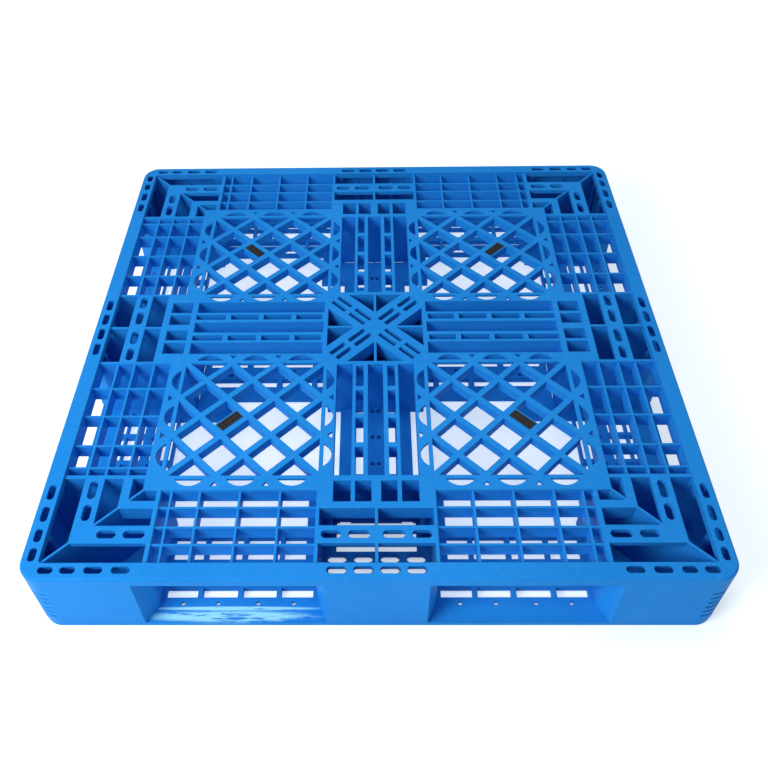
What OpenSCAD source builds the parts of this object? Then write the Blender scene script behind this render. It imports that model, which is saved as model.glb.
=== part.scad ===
// Four-way plastic pallet. A ribbed deck moulding stands on nine hollow feet, a flat
// skid frame is screwed under the feet, and four rubber inserts keep the load from sliding.
// Millimetres, +Z up, origin on the floor under the centre of the pallet.
//
// The plan repeats eight times round the centre, so openings are drawn once, in the wedge
// between the +Y axis and the +X+Y diagonal. There x runs along the side of the pallet and
// y runs out from its centre.

/* [Overall] */
// Length of each side of the square deck
side = 1100; // [1090:2:1110]
// Height of the rim, the top of the pallet, above the floor
height = 150; // [144:1:160]
// Radius of the four upright corners
corner_r = 35; // [28:1:40]

/* [Deck] */
// Width of the raised rim round the deck
rim_w = 29.5; // [28:0.5:32]
// Height of the rim above the load surface inside it
rim_rise = 4; // [0:0.5:6]
// Depth of the deck, from the rim's top to the underside of the ribs
deck_t = 34; // [28:1:36]
// Height of the outer face of the rim over the fork openings
lip_h = 18; // [14:1:22]
// Thickness of the ribs in the side grids
grid_rib = 4; // [3:0.5:6]
// Step down from the load surface to the side grids
grid_drop = 2.5; // [1:0.5:5]

/* [Lattice windows] */
// Distance of the window's near edges from the pallet's centre lines
win_in = 97; // [96:0.5:99]
// Width of a diagonal lattice strip
strip_w = 11; // [8:0.5:14]
// Depth of the lattice strips
lattice_t = 18; // [14:1:22]

/* [Feet] */
// Half the width of a middle foot and of the centre foot
foot_half = 96; // [95:0.5:96]
// Depth of each ridge groove round the corners
groove_d = 1.5; // [0.5:0.5:2.5]
// Number of ridge grooves on each corner
groove_count = 6; // [3:1:7]

/* [Skid frame] */
// Thickness of the skid frame
skid_t = 12; // [11:1:14]
// Width of the frame's outer rails
rail_w = 163; // [160:1:170]
// Half the width of the frame's cross arms
arm_half = 69; // [62:1:74]

/* [Fastening] */
// Radius of a screw's shank
screw_r = 2.5; // [2:0.25:3]
// Length of a screw's shank
screw_len = 32; // [24:2:40]

/* [Anti-slip inserts] */
// Length of a rubber insert
insert_len = 46; // [40:1:47]
// Width of a rubber insert
insert_w = 18; // [14:0.5:18]
// Height of an insert's face above the load surface
insert_proud = 1; // [0:0.5:3]

/* [Hidden] */
$fn = 64;

moulded_blue = [0.13, 0.55, 0.93];
rubber_black = [0.08, 0.08, 0.09];
zinc_plate = [0.75, 0.76, 0.78];

half = side / 2;
past = 5;                                // how far a cutter runs past a face
corner_c = half - corner_r;              // centre of the corner radius
rim_in = half - rim_w;                   // inner edge of the rim
surface = height - rim_rise;             // load surface inside the rim
win_out = half - 195;                    // far edges of the windows
foot_start = win_out + 1;                // near faces of the corner feet
deck_low = height - deck_t;              // underside of the deck ribs
lip_low = height - lip_h;
wall = 4;                                // walls of the feet
skin_t = 4;                              // top skin over the hollow undersides
band_t = 9;                              // depth of the slotted bands across the feet
frame_t = 5;                             // thickness of the plates round the windows

// Openings through the deck and the feet.
cell_side = foot_half - wall;            // where a middle foot's long cells end
corner_side = foot_start + wall + 1;     // where a corner foot's cells begin
outer_cell = [half - 65.5, rim_in];
slot_band_r = half - 82;                 // centre line of the slots in the band between cells
inner_cell = [half - 130, half - 98];
tip_cell = [half - 165, half - 145];
end_cell = [half - 184, half - 143];
rim_slot_r = half - 17;                  // centre line of the slots in the rim
diagonal_rib = 4;
diagonal_gap = diagonal_rib / sqrt(2);
centre_web = 2.5;                        // half the thickness of a foot's middle web
plate_start = 71;                        // solid plate beside a middle foot's end cells

// Side grids.
grid_near = half - 164;
grid_ribs = [half - 133, half - 96, half - 64.5];
grid_cols = 4;
grid_start = win_in + 1;
grid_end = win_out - 2;
web_start = 92;
web_pitch = 66;
grid_last_rib = grid_end - 16;

// Lattice windows.
lattice_step = (win_out - win_in) / 6;
lattice_cell = lattice_step * sqrt(2) - strip_w;
lens_len = 48;
lens_w = 14;
lens_gap = 7;                            // bar between a window and its lens openings

// Cross arms.
arm_start = foot_half + 5;
arm_end = win_out;
arm_slot_webs = [161, 226, 291];
arm_web_w = 10;

// Insert pockets, one in the lattice cell beyond the middle of each window.
pocket_gap = 0.2;
pocket_wall = 3;
pocket_floor_t = 3;
pocket_low = surface - lattice_t;
peg_r = 3;
peg_spacing = 26;
peg_clearance = 0.1;
insert_cell = [win_in + 4 * lattice_step, win_in + 3 * lattice_step];
insert_shift = lattice_cell / 2 - insert_w / 2 - pocket_gap;

// Flared mouths of the fork openings.
flare_r = half - 30;
flare_mid = 17;
flare_corner = 24;

// Pads of the skid frame under the middle feet.
pad_half = 122;
pad_near = half - 265;
pad_out = half - 105;

// Screws.
screw_rim = [41, half - 96.5];           // along the rim, in a middle and a corner foot
screw_side = [82, half - 163];
screw_diagonal = [foot_half - 8, foot_start + 16, half - 19];
boss_r = 6.5;
head_r = 5;
head_h = 4;
head_sunk = 1;
driver_r = 2;
driver_d = 2;
screw_clearance = 0.4;

// Repeats its children in all eight wedges of the plan.
module eight_ways() {
    for (quarter = [0:3]) {
        rotate(90 * quarter) {
            children();
            mirror([1, 0, 0]) children();
        }
    }
}

module four_ways() {
    for (quarter = [0:3]) rotate(90 * quarter) children();
}

// Rectangle between two opposite corners.
module rect(x0, y0, x1, y1) {
    translate([x0, y0]) square([x1 - x0, y1 - y0]);
}

// Round-ended slot along x, x0 and x1 being its overall ends.
module slot(x0, x1, y, w) {
    rect(x0 + w / 2, y - w / 2, x1 - w / 2, y + w / 2);
    for (x = [x0 + w / 2, x1 - w / 2]) translate([x, y]) circle(w / 2);
}

module rounded_square(size, r) {
    inner = size / 2 - r;
    square([size, 2 * inner], center = true);
    square([2 * inner, size], center = true);
    four_ways() translate([inner, inner]) circle(r);
}

// Slots through the rim and through the band between a foot's two rows of cells.
module foot_slots() {
    rim_slot_w = 12;
    band_slot_w = 14;
    mid_rim = [[5, 36], [46, 77]];
    corner_rim = [[56, 32], [90, 66], [132, 103], [174, 145]];
    mid_band = [[10, 45], [56, 88]];
    corner_band = [[184, 149], [138, 107]];
    for (s = mid_rim) slot(s[0], s[1], rim_slot_r, rim_slot_w);
    for (s = corner_rim) slot(half - s[0], half - s[1], rim_slot_r, rim_slot_w);
    for (s = mid_band) slot(s[0], s[1], slot_band_r, band_slot_w);
    for (s = corner_band) slot(half - s[0], half - s[1], slot_band_r, band_slot_w);
}

// Deep cells of half a middle foot.
module mid_foot_cells() {
    rect(centre_web, outer_cell[0], cell_side, outer_cell[1]);
    rect(centre_web, inner_cell[0], cell_side, inner_cell[1]);
    for (run = [[8, 35], [42, plate_start]]) rect(run[0], end_cell[0], run[1], end_cell[1]);
}

// One cell of a corner foot, cut off by the rib that runs to the corner.
module corner_cell(band, start = corner_side) {
    polygon([[start, band[0]], [band[0] - diagonal_gap, band[0]],
             [band[1] - diagonal_gap, band[1]], [start, band[1]]]);
}

module corner_foot_cells() {
    corner_cell(outer_cell);
    corner_cell(inner_cell);
    corner_cell(tip_cell);
}

// A wedge of the centre foot: its triangular pocket and the slots in its diagonal arm.
module centre_foot_cells() {
    edge = foot_half - 3;
    apex = 40;
    row = [4, 13];
    polygon([[centre_web, apex + centre_web], [centre_web, edge], [edge - apex, edge]]);
    for (run = [[20, 63], [74, 112]]) rotate(45) rect(run[0], row[0], run[1], row[1]);
}

function rib_at(i) = web_start + web_pitch * i;

// Gaps between two ends that are divided by ribs at the given places.
function gaps(near, ribs, far) = [
    for (i = [0:len(ribs)])
        [i == 0 ? near : ribs[i - 1] + grid_rib / 2, i == len(ribs) ? far : ribs[i] - grid_rib / 2]
];

// Open cells of one side grid.
module grid_cells() {
    webs = [for (i = [1:grid_cols - 1]) rib_at(i), grid_last_rib];
    for (along = gaps(grid_start, webs, grid_end), out = gaps(grid_near, grid_ribs, rim_in))
        rect(along[0], out[0], along[1], out[1]);
}

// Half of the slots and channels along one cross arm.
module arm_slots() {
    slot_x = [22, 36];
    channel_x = [42, 72];
    edges = concat([arm_start], arm_slot_webs, [arm_end]);
    last = len(edges) - 2;
    for (i = [0:last]) {
        near = edges[i] + (i == 0 ? 4 : arm_web_w / 2);
        far = edges[i + 1] - (i == last ? 0 : arm_web_w / 2);
        rect(slot_x[0], near, slot_x[1], far);
    }
    rect(channel_x[0], arm_start, channel_x[1], arm_end);
}

module arm_centre_channel() {
    rect(-14, arm_start, 14, arm_end);
}

// Diamond openings of the window in the first quarter of the plan.
module lattice_cells() {
    intersection() {
        rect(win_in, win_in, win_out, win_out);
        for (i = [0:6], j = [0:6]) {
            if ((i + j) % 2 == 1) {
                translate([win_in + lattice_step * i, win_in + lattice_step * j])
                    rotate(45) square(lattice_cell, center = true);
            }
        }
    }
}

// Opening in a window's frame: a flat arch that stands on the x axis.
module lens() {
    arch_r = (pow(lens_len / 2, 2) + pow(lens_w, 2)) / (2 * lens_w);
    intersection() {
        translate([0, lens_w - arch_r]) circle(arch_r);
        rect(-lens_len, 0, lens_len, lens_w + 1);
    }
}

// Openings along one edge of a window, drawn outwards from that edge.
module frame_row() {
    for (i = [1, 3, 5]) translate([win_in + lattice_step * i, lens_gap]) lens();
    for (i = [2, 4]) {
        translate([win_in + lattice_step * i, lens_gap + 5])
            polygon([[0, 0], [7, 9], [-7, 9]]);
    }
}

// Openings along the near and the far edge that a window has in this wedge.
module frame_openings() {
    translate([0, win_out]) frame_row();
    translate([0, win_in]) mirror([0, 1]) frame_row();
}

// Hollow underside of the plates that hold those openings.
module frame_hollows() {
    run = [win_in + 12, win_out - 12];
    reach = lens_gap + lens_w + 1;
    rect(run[0], win_out - 1, run[1], win_out + reach);
    rect(run[0], win_in - reach, run[1], win_in + 1);
}

// Where an insert's long centre line lies: children are drawn with x along the insert.
module at_insert() {
    translate(insert_cell) rotate(45) translate([0, insert_shift]) children();
}

// The part of a lattice cell that the pocket for an insert takes up, in the first quarter.
module pocket_block() {
    overlap = 1;                         // how far the block runs into the strips round it
    width = insert_w + 2 * pocket_gap + pocket_wall + overlap;
    at_insert() {
        translate([0, (overlap - pocket_wall) / 2])
            square([lattice_cell + 2 * overlap, width], center = true);
    }
}

module deck_plan() {
    difference() {
        rounded_square(side, corner_r);
        eight_ways() {
            foot_slots();
            mid_foot_cells();
            corner_foot_cells();
            centre_foot_cells();
            grid_cells();
            arm_slots();
            frame_openings();
        }
        four_ways() {
            lattice_cells();
            arm_centre_channel();
        }
    }
}

// Plan of the nine feet, flared where the forks enter.
module foot_plan() {
    square(2 * foot_half, center = true);
    four_ways() {
        polygon([[-foot_half, arm_end + 2], [foot_half, arm_end + 2], [foot_half, flare_r],
                 [foot_half - flare_mid, half + past], [flare_mid - foot_half, half + past],
                 [-foot_half, flare_r]]);
        polygon([[foot_start, foot_start], [flare_r, foot_start],
                 [half + past, foot_start + flare_corner], [half + past, half + past],
                 [foot_start + flare_corner, half + past], [foot_start, flare_r]]);
    }
}

// Hollow inside of the nine feet, leaving their walls, webs and screw bosses.
module foot_cavities() {
    low = arm_end + 2 + wall;
    top = half - wall;
    flare = (top - flare_r) / (half + past - flare_r);
    difference() {
        intersection() {
            rounded_square(side - 2 * wall, corner_r - wall);
            eight_ways() {
                polygon([[centre_web, low], [cell_side, low], [cell_side, flare_r - 2],
                         [cell_side - flare_mid * flare, top], [centre_web, top]]);
                polygon([[corner_side, corner_side + diagonal_gap], [corner_side, flare_r - 2],
                         [corner_side + flare_corner * flare, top], [top - diagonal_gap, top]]);
                polygon([[centre_web, centre_web + diagonal_gap], [centre_web, cell_side],
                         [cell_side - diagonal_gap, cell_side]]);
            }
        }
        at_foot_screws() circle(boss_r);
        eight_ways() {
            rect(screw_rim[0] - 2, rim_slot_r, screw_rim[0] + 2, half);
            rect(screw_rim[1] - 2, rim_slot_r, screw_rim[1] + 2, half);
            rect(screw_side[0], screw_side[1] - 2, foot_half, screw_side[1] + 2);
        }
    }
}

// Space for the forks, between the skid frame and the deck.
module fork_space() {
    difference() {
        square(side + 4 * past, center = true);
        foot_plan();
    }
}

// Hollow underside of the rim.
module rim_hollows() {
    rim_wall = rim_in + wall;
    intersection() {
        rounded_square(side - 2 * wall, corner_r - wall);
        eight_ways() {
            for (i = [0:grid_cols - 1]) {
                near = i == 0 ? foot_half + wall : rib_at(i) + wall / 2;
                far = i == grid_cols - 1 ? foot_start - wall : rib_at(i + 1) - wall / 2;
                rect(near, rim_wall, far, half);
            }
            rect(centre_web, rim_wall, foot_half - flare_mid - wall, half);
            corner_cell([rim_wall, half], foot_start + flare_corner + wall);
        }
    }
}

// Hollow underside of the solid bands over the feet.
module plate_hollows() {
    plate = [plate_start + wall, cell_side - wall];
    solid = [corner_side + 3, tip_cell[0] - 4];
    eight_ways() {
        rect(plate[0], end_cell[0] + wall, plate[1], end_cell[1] - wall);
        rect(centre_web + 1, end_cell[1] + 3, cell_side - 1, inner_cell[0] - 3);
    }
    four_ways() rect(solid[0], solid[0], solid[1], solid[1]);
}

// Shallow bands over a foot: between its two rows of cells, and along the inside of the rim.
module band_hollows() {
    rim_wall = rim_in + wall + 1;
    eight_ways() {
        rect(centre_web, inner_cell[1] - 1, cell_side, outer_cell[0] + 1);
        corner_cell([inner_cell[1] - 1, outer_cell[0] + 1]);
        rect(centre_web, rim_in - 1, cell_side - wall, rim_wall);
        corner_cell([rim_in - 1, rim_wall], corner_side + wall);
    }
}

// Cross-section that is cut off to round the top edge of the rim.
module edge_profile() {
    round_r = 7;
    inset = 6.5;
    translate([corner_r - inset, height - inset]) {
        difference() {
            square(inset + past);
            circle(round_r);
        }
    }
}

module rounded_edge() {
    four_ways() {
        rotate([90, 0, 0]) linear_extrude(2 * corner_c, center = true)
            translate([corner_c, 0]) edge_profile();
        translate([corner_c, corner_c, 0]) rotate_extrude(angle = 90) edge_profile();
    }
}

// Ridge grooves round the four corners.
module corner_grooves() {
    groove_h = 5;
    first = skid_t + 20;
    pitch = (deck_low - first) / groove_count;
    four_ways() {
        for (i = [0:groove_count - 1]) {
            translate([corner_c, corner_c, first + pitch * i])
                rotate_extrude(angle = 90)
                    rect(corner_r - groove_d, 0, corner_r + past, groove_h);
        }
    }
}

// Repeats its children at every screw.
module at_foot_screws() {
    eight_ways() {
        for (t = screw_rim) translate([t, rim_slot_r, 0]) children();
        translate([screw_side[0], screw_side[1], 0]) children();
    }
    four_ways() {
        for (d = screw_diagonal) translate([d, d, 0]) children();
    }
}

// Cutter that opens the deck's underside as far up as the given height.
module hollow_up_to(top) {
    translate([0, 0, deck_low - past]) linear_extrude(top - deck_low + past) children();
}

module deck_body() {
    rim_inner_r = 6;
    difference() {
        translate([0, 0, skid_t]) linear_extrude(height - skid_t) deck_plan();
        linear_extrude(deck_low) fork_space();
        translate([0, 0, deck_low - past]) linear_extrude(lip_low - deck_low + past) {
            intersection() {
                fork_space();
                difference() {
                    square(side + 2 * past, center = true);
                    square(2 * rim_in + 10, center = true);
                }
            }
        }
        linear_extrude(deck_low) foot_cavities();
        hollow_up_to(height - skin_t) rim_hollows();
        hollow_up_to(surface - skin_t) plate_hollows();
        hollow_up_to(surface - band_t) band_hollows();
        hollow_up_to(surface - frame_t) eight_ways() frame_hollows();
        hollow_up_to(pocket_low) four_ways() rect(win_in - 2, win_in - 2, win_out + 2, win_out + 2);
        translate([0, 0, surface]) linear_extrude(rim_rise + past)
            rounded_square(2 * rim_in, rim_inner_r);
        translate([0, 0, surface - grid_drop]) linear_extrude(grid_drop + past)
            eight_ways() rect(grid_start - 1, grid_near - 1, grid_end + 1, rim_in);
        rounded_edge();
        corner_grooves();
        translate([0, 0, skid_t - 1]) at_foot_screws() cylinder(r = screw_r, h = screw_len);
    }
}

// Pocket that holds one insert, built into its lattice cell.
module insert_pocket() {
    opening = [insert_len + 2 * pocket_gap, insert_w + 2 * pocket_gap];
    difference() {
        translate([0, 0, pocket_low]) linear_extrude(lattice_t) pocket_block();
        translate([0, 0, pocket_low + pocket_floor_t]) linear_extrude(lattice_t)
            at_insert() square(opening, center = true);
        at_insert_pegs() cylinder(r = peg_r + peg_clearance, h = height);
    }
}

module at_insert_pegs() {
    for (side_x = [-1, 1]) {
        at_insert() translate([side_x * peg_spacing / 2, 0, 0]) children();
    }
}

// Repeats a first-quarter child in the quarter with the given signs.
module in_quarter(sx, sy) {
    mirror([sx < 0 ? 1 : 0, 0, 0]) mirror([0, sy < 0 ? 1 : 0, 0]) children();
}

module deck() {
    color(moulded_blue) {
        deck_body();
        for (sx = [-1, 1], sy = [-1, 1]) in_quarter(sx, sy) insert_pocket();
    }
}

// Rubber bar with three grip ribs on its face and two pegs through the pocket's floor.
module insert_bar() {
    face_h = 1.5;
    rib_w = 4;
    low = pocket_low + pocket_floor_t;
    top = surface + insert_proud - face_h;
    translate([0, 0, low]) linear_extrude(top - low)
        at_insert() square([insert_len, insert_w], center = true);
    translate([0, 0, top - 1]) linear_extrude(face_h + 1) {
        for (row = [-1:1]) {
            at_insert() translate([0, row * (insert_w - rib_w) / 2])
                square([insert_len - 4, rib_w], center = true);
        }
    }
    translate([0, 0, pocket_low - 3]) at_insert_pegs() cylinder(r = peg_r, h = low - pocket_low + 4);
}

module anti_slip_insert_front_left() {
    color(rubber_black) in_quarter(-1, -1) insert_bar();
}

module anti_slip_insert_front_right() {
    color(rubber_black) in_quarter(1, -1) insert_bar();
}

module anti_slip_insert_back_left() {
    color(rubber_black) in_quarter(-1, 1) insert_bar();
}

module anti_slip_insert_back_right() {
    color(rubber_black) in_quarter(1, 1) insert_bar();
}

// Slots of one wedge of the skid frame.
module skid_slots() {
    web = 11;
    rows = [[62, 44], [100, 66], [131, 115], [158, 137]];
    runs = [[106, 159], [167, 223], [231.5, 290], [298, 351]];
    mid_rows = [[194, 177], [172, 157], [146, 130]];
    mid_run = [3, 70];
    oval_rows = [half - 117, half - 96];
    ovals = [[6, 40], [51, 85]];
    oval_w = 16;
    arm_run = [17, 38];
    arm_rows = [92, 125, 197, 262, half - 200];
    pin_run = [2.5, 9.5];
    pin_near = 99;
    pin_len = 9;
    pin_pitch = 65;
    for (row = rows, run = runs) {
        near = half - row[0] < pad_out ? max(run[0], pad_half) : run[0];
        rect(near, half - row[0], run[1], half - row[1]);
    }
    for (row = mid_rows) rect(mid_run[0], half - row[0], mid_run[1], half - row[1]);
    for (r = oval_rows, s = ovals) slot(s[0], s[1], r, oval_w);
    for (i = [0:len(arm_rows) - 2])
        rect(arm_run[0], arm_rows[i] + web / 2, arm_run[1], arm_rows[i + 1] - web / 2);
    for (i = [0:3]) {
        near = pin_near + pin_pitch * i;
        rect(pin_run[0], near, pin_run[1], near + pin_len);
    }
}

module skid_drains() {
    drain_r = 3.5;
    for (t = [137, 196, 262, 320]) translate([t, half - 33.5]) circle(drain_r);
}

// Hollows in the underside of the skid frame.
module skid_hollows() {
    rib = 4;
    cell = 32;
    pad_r = 9;
    edge = 6;                            // solid border of the frame's underside
    outer = [half - 40, half - edge];
    arm_cell = [60, 64];                 // length and pitch of the hollows along an arm
    arm_near = 104;
    difference() {
        intersection() {
            rounded_square(side - 2 * edge, corner_r - edge);
            union() {
                four_ways() {
                    for (i = [0:4], j = [0:4]) {
                        translate([foot_start + rib + (cell + rib) * i, foot_start + rib + (cell + rib) * j])
                            square(cell);
                    }
                    for (i = [0:2], j = [0:2]) {
                        translate([rib / 2 + (cell - rib / 2) * i, rib / 2 + (cell - rib / 2) * j])
                            square(cell - 1.5 * rib);
                    }
                }
                eight_ways() {
                    for (i = [0:grid_cols - 1]) {
                        near = i == 0 ? foot_half + rib : rib_at(i) + rib / 2;
                        far = min(rib_at(i + 1), foot_start) - rib / 2;
                        rect(near, outer[0], far, outer[1]);
                    }
                    rect(rib / 2, half - 53, foot_half - rib, outer[1]);
                    for (i = [0:3]) {
                        near = arm_near + arm_cell[1] * i;
                        rect(46, near, arm_half - rib, near + arm_cell[0]);
                    }
                }
            }
        }
        at_foot_screws() circle(pad_r);
    }
}

module skid_plan() {
    seam = 1;                            // the frame's edge is set back from the feet
    difference() {
        rounded_square(side - 2 * seam, corner_r - seam);
        difference() {
            four_ways() rect(arm_half, arm_half, half - rail_w, half - rail_w);
            foot_plan();
            eight_ways() rect(0, pad_near, pad_half, half - rail_w + 1);
        }
        eight_ways() {
            skid_slots();
            skid_drains();
        }
    }
}

// Bevel on the rail's top that leads the forks in.
module fork_bevel() {
    bevel_w = 28;
    bevel_h = 3;
    near = foot_half - flare_mid - past;
    far = foot_start + flare_corner + past;
    difference() {
        translate([near, 0, 0]) rotate([90, 0, 90]) linear_extrude(far - near) {
            polygon([[half - bevel_w, skid_t],
                     [half + past, skid_t - bevel_h * (bevel_w + past) / bevel_w],
                     [half + past, skid_t + past], [half - bevel_w, skid_t + past]]);
        }
        linear_extrude(height) foot_plan();
    }
}

module skid_frame() {
    color(moulded_blue) {
        difference() {
            linear_extrude(skid_t) skid_plan();
            translate([0, 0, -past]) linear_extrude(skid_t - skin_t - 1 + past) skid_hollows();
            eight_ways() fork_bevel();
            at_foot_screws() {
                translate([0, 0, -1]) cylinder(r = screw_r + screw_clearance, h = skid_t + 2);
                translate([0, 0, -1]) cylinder(r = head_r + 1, h = head_h + head_sunk + 1);
            }
        }
    }
}

module screw() {
    translate([0, 0, head_sunk]) {
        difference() {
            cylinder(r = head_r, h = head_h);
            translate([0, 0, -1]) cylinder(r = driver_r, h = driver_d + 1, $fn = 6);
        }
        translate([0, 0, head_h]) cylinder(r = screw_r, h = screw_len);
    }
}

module foot_screws() {
    color(zinc_plate) at_foot_screws() screw();
}

deck();
skid_frame();
anti_slip_insert_front_left();
anti_slip_insert_front_right();
anti_slip_insert_back_left();
anti_slip_insert_back_right();
foot_screws();
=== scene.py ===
"""A four-way plastic pallet on a pale studio floor."""

import math

import bpy
from mathutils import Matrix, Vector


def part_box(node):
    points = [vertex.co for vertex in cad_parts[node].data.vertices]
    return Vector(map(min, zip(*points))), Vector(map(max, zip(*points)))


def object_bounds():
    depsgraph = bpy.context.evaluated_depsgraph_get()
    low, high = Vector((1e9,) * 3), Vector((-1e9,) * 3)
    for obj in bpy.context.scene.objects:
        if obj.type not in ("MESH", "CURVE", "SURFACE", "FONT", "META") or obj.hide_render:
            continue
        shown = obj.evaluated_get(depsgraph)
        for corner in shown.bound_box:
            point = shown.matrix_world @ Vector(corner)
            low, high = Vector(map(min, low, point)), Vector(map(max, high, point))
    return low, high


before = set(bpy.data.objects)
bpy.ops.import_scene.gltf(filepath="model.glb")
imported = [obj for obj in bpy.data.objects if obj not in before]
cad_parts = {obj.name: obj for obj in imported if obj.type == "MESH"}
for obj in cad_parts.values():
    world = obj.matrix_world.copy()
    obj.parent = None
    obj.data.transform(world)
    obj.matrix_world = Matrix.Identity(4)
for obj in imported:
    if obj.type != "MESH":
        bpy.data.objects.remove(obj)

CAD_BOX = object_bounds()
FRONT_Y = CAD_BOX[0].y
DECK_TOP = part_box("deck")[1].z
SKID_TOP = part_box("skid_frame")[1].z
MM = 0.001

# Camera: where it stands, how far it looks down, how it is turned and tilted, its lens and
# sensor in mm, and how far its picture is shifted, in widths.
CAMERA_AT = Vector((-0.0043, -1.1728, DECK_TOP + 1.1324))
LOOK_DOWN = math.radians(46.46)
TURN = math.radians(1.23)
TILT = math.radians(-1.18)
LENS = 39.05
SENSOR_W = 36.0
SHIFT = (0.0302, -0.0299)

# Lights: where each hangs, its width in metres and its power in watts. All point at the origin.
KEY_LIGHT = ((-1.55, -1.5, 1.6), 1.2, 45.0)
TOP_LIGHT = ((-0.1, 0.2, 2.6), 1.2, 22.0)
WORLD_LIGHT = 0.30

# Floor: its size, how strongly it glows for the camera at a near and a far distance from the
# origin, in metres, and how weak the glow is that falls on the pallet.
FLOOR_W = 60.0
GLOW_NEAR_AT, GLOW_FAR_AT = 0.9, 2.4
GLOW_NEAR, GLOW_FAR = 0.50, 0.85
GLOW_ON_PALLET = 0.18

# Colours, in linear light.
WHITE = (1.0, 1.0, 1.0)
BLUE = (0.018, 0.262, 0.77)
BLUE_PALE = (0.055, 0.36, 0.86)
BLUE_DEEP = (0.013, 0.230, 0.70)
BLUE_GLINT = (0.30, 0.72, 1.0)
# Pale colour of the painted highlight on the skid frame's front left lip.
GLARE_PALE = (0.36, 0.84, 1.0)
RUBBER = (0.012, 0.012, 0.014)
RUBBER_DUST = (0.12, 0.12, 0.13)
ZINC = (0.62, 0.64, 0.67)
ZINC_CLOUDED = (0.52, 0.56, 0.60)
FLOOR_WHITE = (0.93, 0.94, 0.95)
FLOOR_GREY = (0.90, 0.91, 0.92)
FLOOR_GLOW = (0.84, 0.96, 1.0)

# Painted highlight: pale streaks on the skid frame's front left lip, along the top of its bevel and
# down its face, stand in for a glare of light there.
# Each strip: middle, reach along each axis, and the noise level above which the strip is pale.
GLARE_ON_BEVEL_TOP = ((-0.232, FRONT_Y + 0.0245, SKID_TOP), (0.160, 0.0040, 0.02), 0.34)
GLARE_ON_BEVEL_LOW = ((-0.240, FRONT_Y + 0.0110, SKID_TOP - 0.002), (0.160, 0.0110, 0.02), 0.42)


class Nodes:
    """Short calls for building one material's node tree."""

    def __init__(self, name):
        self.material = bpy.data.materials.new(name)
        self.material.use_nodes = True
        self.tree = self.material.node_tree
        self.shader = self.tree.nodes["Principled BSDF"]
        self.place = self.add("ShaderNodeTexCoord").outputs["Object"]

    def add(self, kind, inputs=None, **settings):
        node = self.tree.nodes.new(kind)
        for key, value in settings.items():
            setattr(node, key, value)
        for key, value in (inputs or {}).items():
            self.put(node.inputs[key], value)
        return node

    def put(self, socket, value):
        if isinstance(value, bpy.types.NodeSocket):
            self.tree.links.new(value, socket)
        else:
            socket.default_value = value

    def rounded(self, radius):
        """The surface's direction with its sharp edges rounded off."""
        return self.add("ShaderNodeBevel", {"Radius": radius}, samples=4).outputs[0]

    def length(self, vector):
        node = self.add("ShaderNodeVectorMath", {0: vector}, operation="LENGTH")
        return node.outputs["Value"]

    def near(self, point, reach):
        """1 round a point of the pallet, falling to 0 at the given reach along each axis."""
        away = self.add("ShaderNodeVectorMath", {0: self.place, 1: point}, operation="SUBTRACT")
        share = self.add("ShaderNodeVectorMath", {0: away.outputs[0], 1: reach}, operation="DIVIDE")
        return self.ramp(self.length(share.outputs[0]), 0.6, 1.0, to_low=1.0, to_high=0.0)

    def noise(self, scale, detail=2.0, squeeze=(1, 1, 1), roughness=0.5):
        """Noise of the given cells to a metre. A squeeze under 1 draws it out along that axis."""
        where = self.add("ShaderNodeMapping", {"Vector": self.place, "Scale": squeeze})
        node = self.add("ShaderNodeTexNoise", {
            "Vector": where.outputs[0], "Scale": scale, "Detail": detail, "Roughness": roughness})
        return node.outputs["Fac"]

    def ramp(self, value, low, high, to_low=0.0, to_high=1.0):
        """Carries low..high over to to_low..to_high, and holds the end values beyond them."""
        node = self.add("ShaderNodeMapRange", {
            "Value": value, "From Min": low, "From Max": high, "To Min": to_low, "To Max": to_high},
            clamp=True)
        return node.outputs[0]

    def math(self, operation, a, b):
        return self.add("ShaderNodeMath", {0: a, 1: b}, operation=operation).outputs[0]

    def mix(self, share, a, b):
        """Colour a, turning into colour b as share goes from 0 to 1."""
        node = self.add("ShaderNodeMix", data_type="RGBA")
        self.put(node.inputs["Factor"], share)
        for socket, value in ((node.inputs[6], a), (node.inputs[7], b)):
            self.put(socket, (*value, 1.0) if isinstance(value, tuple) else value)
        return node.outputs[2]

    def bump(self, height, strength, depth, normal=None):
        """The surface's direction, tipped as if a height of 1 stood up by the given depth."""
        inputs = {"Height": height, "Strength": strength, "Distance": depth}
        if normal is not None:
            inputs["Normal"] = normal
        return self.add("ShaderNodeBump", inputs).outputs[0]

    def finish(self, colour, roughness, normal, metallic=0.0, specular=0.5):
        values = {"Base Color": colour, "Roughness": roughness, "Normal": normal,
                  "Metallic": metallic, "Specular IOR Level": specular}
        for key, value in values.items():
            self.put(self.shader.inputs[key], value)
        return self.material


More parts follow.
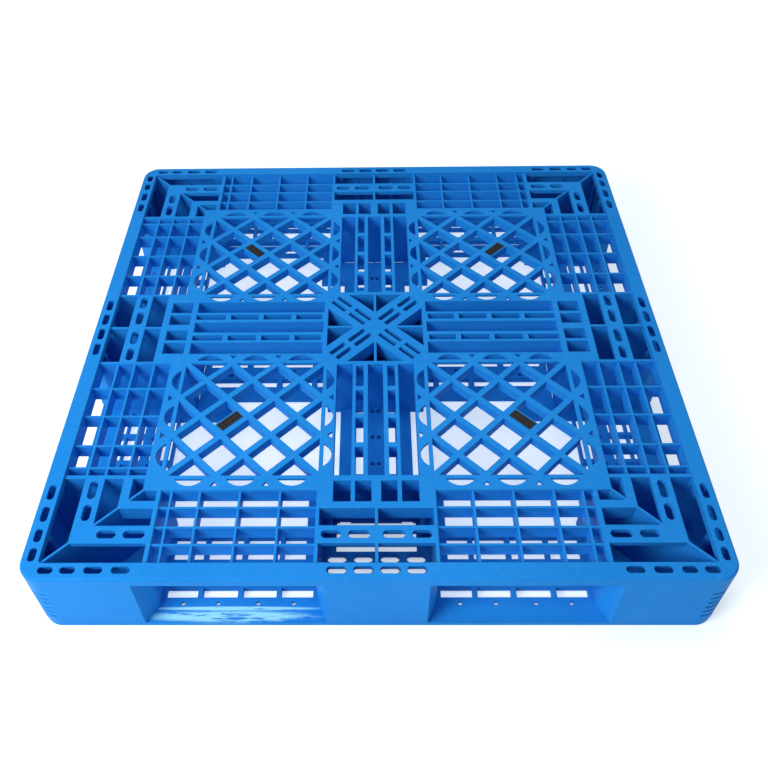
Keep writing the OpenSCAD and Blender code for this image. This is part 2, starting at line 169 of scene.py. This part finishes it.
def moulded_plastic(name, wear, glare_strips=()):
    """Satin polyethylene: clouded colour, a fine moulded grain, faint scuffs on faces that look up.

    Pale streaks are painted in the given strips as a painted highlight, standing in for a glare of
    light.
    """
    n = Nodes(name)
    cloud = n.noise(5.0, detail=3.0)
    colour = n.mix(n.ramp(cloud, 0.3, 0.7), BLUE_DEEP, BLUE)
    fleck = n.noise(90.0, detail=4.0, roughness=0.65)
    colour = n.mix(n.ramp(fleck, 0.45, 0.75, to_high=0.16), colour, BLUE_PALE)

    # Scuffs run two ways, thin and broken, and show only on faces that look up.
    facing = n.add("ShaderNodeNewGeometry").outputs["Normal"]
    up = n.add("ShaderNodeSeparateXYZ", {"Vector": facing}).outputs["Z"]
    along_x = n.ramp(n.noise(60.0, detail=5.0, squeeze=(0.35, 6.0, 1.0)), 0.63, 0.74)
    along_y = n.ramp(n.noise(70.0, detail=5.0, squeeze=(6.0, 0.35, 1.0)), 0.65, 0.75)
    worn = n.ramp(up, 0.7, 1.0, to_high=wear)
    scuff = n.math("MULTIPLY", n.math("MAXIMUM", along_x, along_y), worn)
    colour = n.mix(scuff, colour, BLUE_PALE)

    streak_edge, streak_cover = 0.10, 0.92
    # Painted highlight: in each strip, pale streaks stand in for a glare of light on the lip.
    for middle, reach, level in glare_strips:
        streaks = n.noise(40.0, detail=4.0, squeeze=(0.5, 5.0, 1.0), roughness=0.6)
        pale = n.ramp(streaks, level, level + streak_edge)
        glare_share = n.math("MULTIPLY", pale, n.near(middle, reach))
        colour = n.mix(n.math("MULTIPLY", glare_share, streak_cover), colour, GLARE_PALE)

    grain = n.noise(1400.0)
    orange_peel = n.noise(120.0, detail=1.0)
    normal = n.bump(grain, strength=0.12, depth=0.1 * MM, normal=n.rounded(1.3 * MM))
    normal = n.bump(orange_peel, strength=0.10, depth=1.0 * MM, normal=normal)

    scuff_dulls = 0.3
    satin = n.ramp(n.noise(35.0, detail=3.0), 0.3, 0.7, to_low=0.30, to_high=0.42)
    roughness = n.math("ADD", satin, n.math("MULTIPLY", scuff, scuff_dulls))
    n.put(n.shader.inputs["Specular Tint"], (*BLUE_GLINT, 1.0))
    return n.finish(colour, roughness, normal, specular=0.03)


def grip_rubber():
    """Matt black rubber with a fine stipple and a little dust."""
    n = Nodes("grip_rubber")
    dust = n.ramp(n.noise(300.0, detail=4.0), 0.55, 0.8, to_high=0.12)
    colour = n.mix(dust, RUBBER, RUBBER_DUST)
    roughness = n.ramp(n.noise(80.0), 0.3, 0.7, to_low=0.55, to_high=0.75)
    stipple = n.bump(n.noise(2600.0), strength=0.4, depth=0.1 * MM)
    return n.finish(colour, roughness, stipple)


def zinc_steel():
    """Zinc-plated steel, drawn along the screw, with cloudy passivation."""
    n = Nodes("zinc_steel")
    cloud = n.noise(400.0, detail=3.0)
    colour = n.mix(n.ramp(cloud, 0.35, 0.65), ZINC, ZINC_CLOUDED)
    drawn = n.noise(900.0, squeeze=(1.0, 1.0, 0.15))
    roughness = n.ramp(drawn, 0.3, 0.7, to_low=0.22, to_high=0.42)
    scored = n.bump(drawn, strength=0.15, depth=0.05 * MM)
    return n.finish(colour, roughness, scored, metallic=1.0)


def dress(piece, material):
    """Gives a piece one material throughout."""
    piece.data.materials.clear()
    piece.data.materials.append(material)


def dress_pallet():
    rubber = grip_rubber()
    materials = {
        "deck": moulded_plastic("deck_plastic", wear=0.45),
        # The skid frame gets painted highlight streaks on its front left lip.
        "skid_frame": moulded_plastic("skid_plastic", wear=0.2, glare_strips=(GLARE_ON_BEVEL_TOP, GLARE_ON_BEVEL_LOW)),
        "foot_screws": zinc_steel(),
    }
    for name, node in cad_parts.items():
        dress(node, materials.get(name, rubber))


def studio_floor():
    """A pale floor that glows for the camera, so that it stays bright under the pallet too."""
    n = Nodes("studio_floor")
    shade = n.ramp(n.noise(1.5), 0.3, 0.7, to_low=0.985)
    texture = n.bump(n.noise(300.0), strength=0.03, depth=0.2 * MM)
    n.finish(n.mix(shade, FLOOR_GREY, FLOOR_WHITE), 0.55, texture)

    seen = n.add("ShaderNodeLightPath").outputs["Is Camera Ray"]
    away = n.length(n.place)
    glow = n.ramp(away, GLOW_NEAR_AT, GLOW_FAR_AT, to_low=GLOW_NEAR, to_high=GLOW_FAR)
    n.put(n.shader.inputs["Emission Color"], (*FLOOR_GLOW, 1.0))
    strength = n.ramp(seen, 0.0, 1.0, to_low=GLOW_ON_PALLET, to_high=glow)
    n.put(n.shader.inputs["Emission Strength"], strength)

    bpy.ops.mesh.primitive_plane_add(size=FLOOR_W)
    floor = bpy.context.object
    floor.name = "studio_floor"
    dress(floor, n.material)


def area_light(name, at, width, power):
    data = bpy.data.lights.new(name, "AREA")
    data.shape = "SQUARE"
    data.size = width
    data.energy = power
    light = bpy.data.objects.new(name, data)
    light.location = at
    light.rotation_euler = (-Vector(at)).to_track_quat("-Z", "Y").to_euler()
    bpy.context.scene.collection.objects.link(light)


def studio_world(strength):
    """Even soft light from all round, which the camera sees as white."""
    world = bpy.data.worlds.new("studio")
    bpy.context.scene.world = world
    world.use_nodes = True
    tree = world.node_tree
    background = tree.nodes["Background"]
    seen = tree.nodes.new("ShaderNodeLightPath").outputs["Is Camera Ray"]
    level = tree.nodes.new("ShaderNodeMapRange")
    level.inputs["To Min"].default_value = strength
    level.inputs["To Max"].default_value = 1.0
    tree.links.new(seen, level.inputs["Value"])
    tree.links.new(level.outputs[0], background.inputs["Strength"])
    background.inputs["Color"].default_value = (*WHITE, 1.0)


def studio_camera():
    data = bpy.data.cameras.new("camera")
    data.lens = LENS
    data.sensor_width = SENSOR_W
    data.shift_x, data.shift_y = SHIFT
    camera = bpy.data.objects.new("camera", data)
    aim = Matrix.Rotation(TURN, 4, "Z") @ Matrix.Rotation(math.pi / 2 - LOOK_DOWN, 4, "X")
    camera.matrix_world = Matrix.Translation(CAMERA_AT) @ aim @ Matrix.Rotation(TILT, 4, "Z")
    bpy.context.scene.collection.objects.link(camera)
    bpy.context.scene.camera = camera


dress_pallet()
studio_floor()
studio_world(WORLD_LIGHT)
area_light("key", *KEY_LIGHT)
area_light("top", *TOP_LIGHT)
studio_camera()
bpy.context.scene.view_settings.view_transform = "Standard"
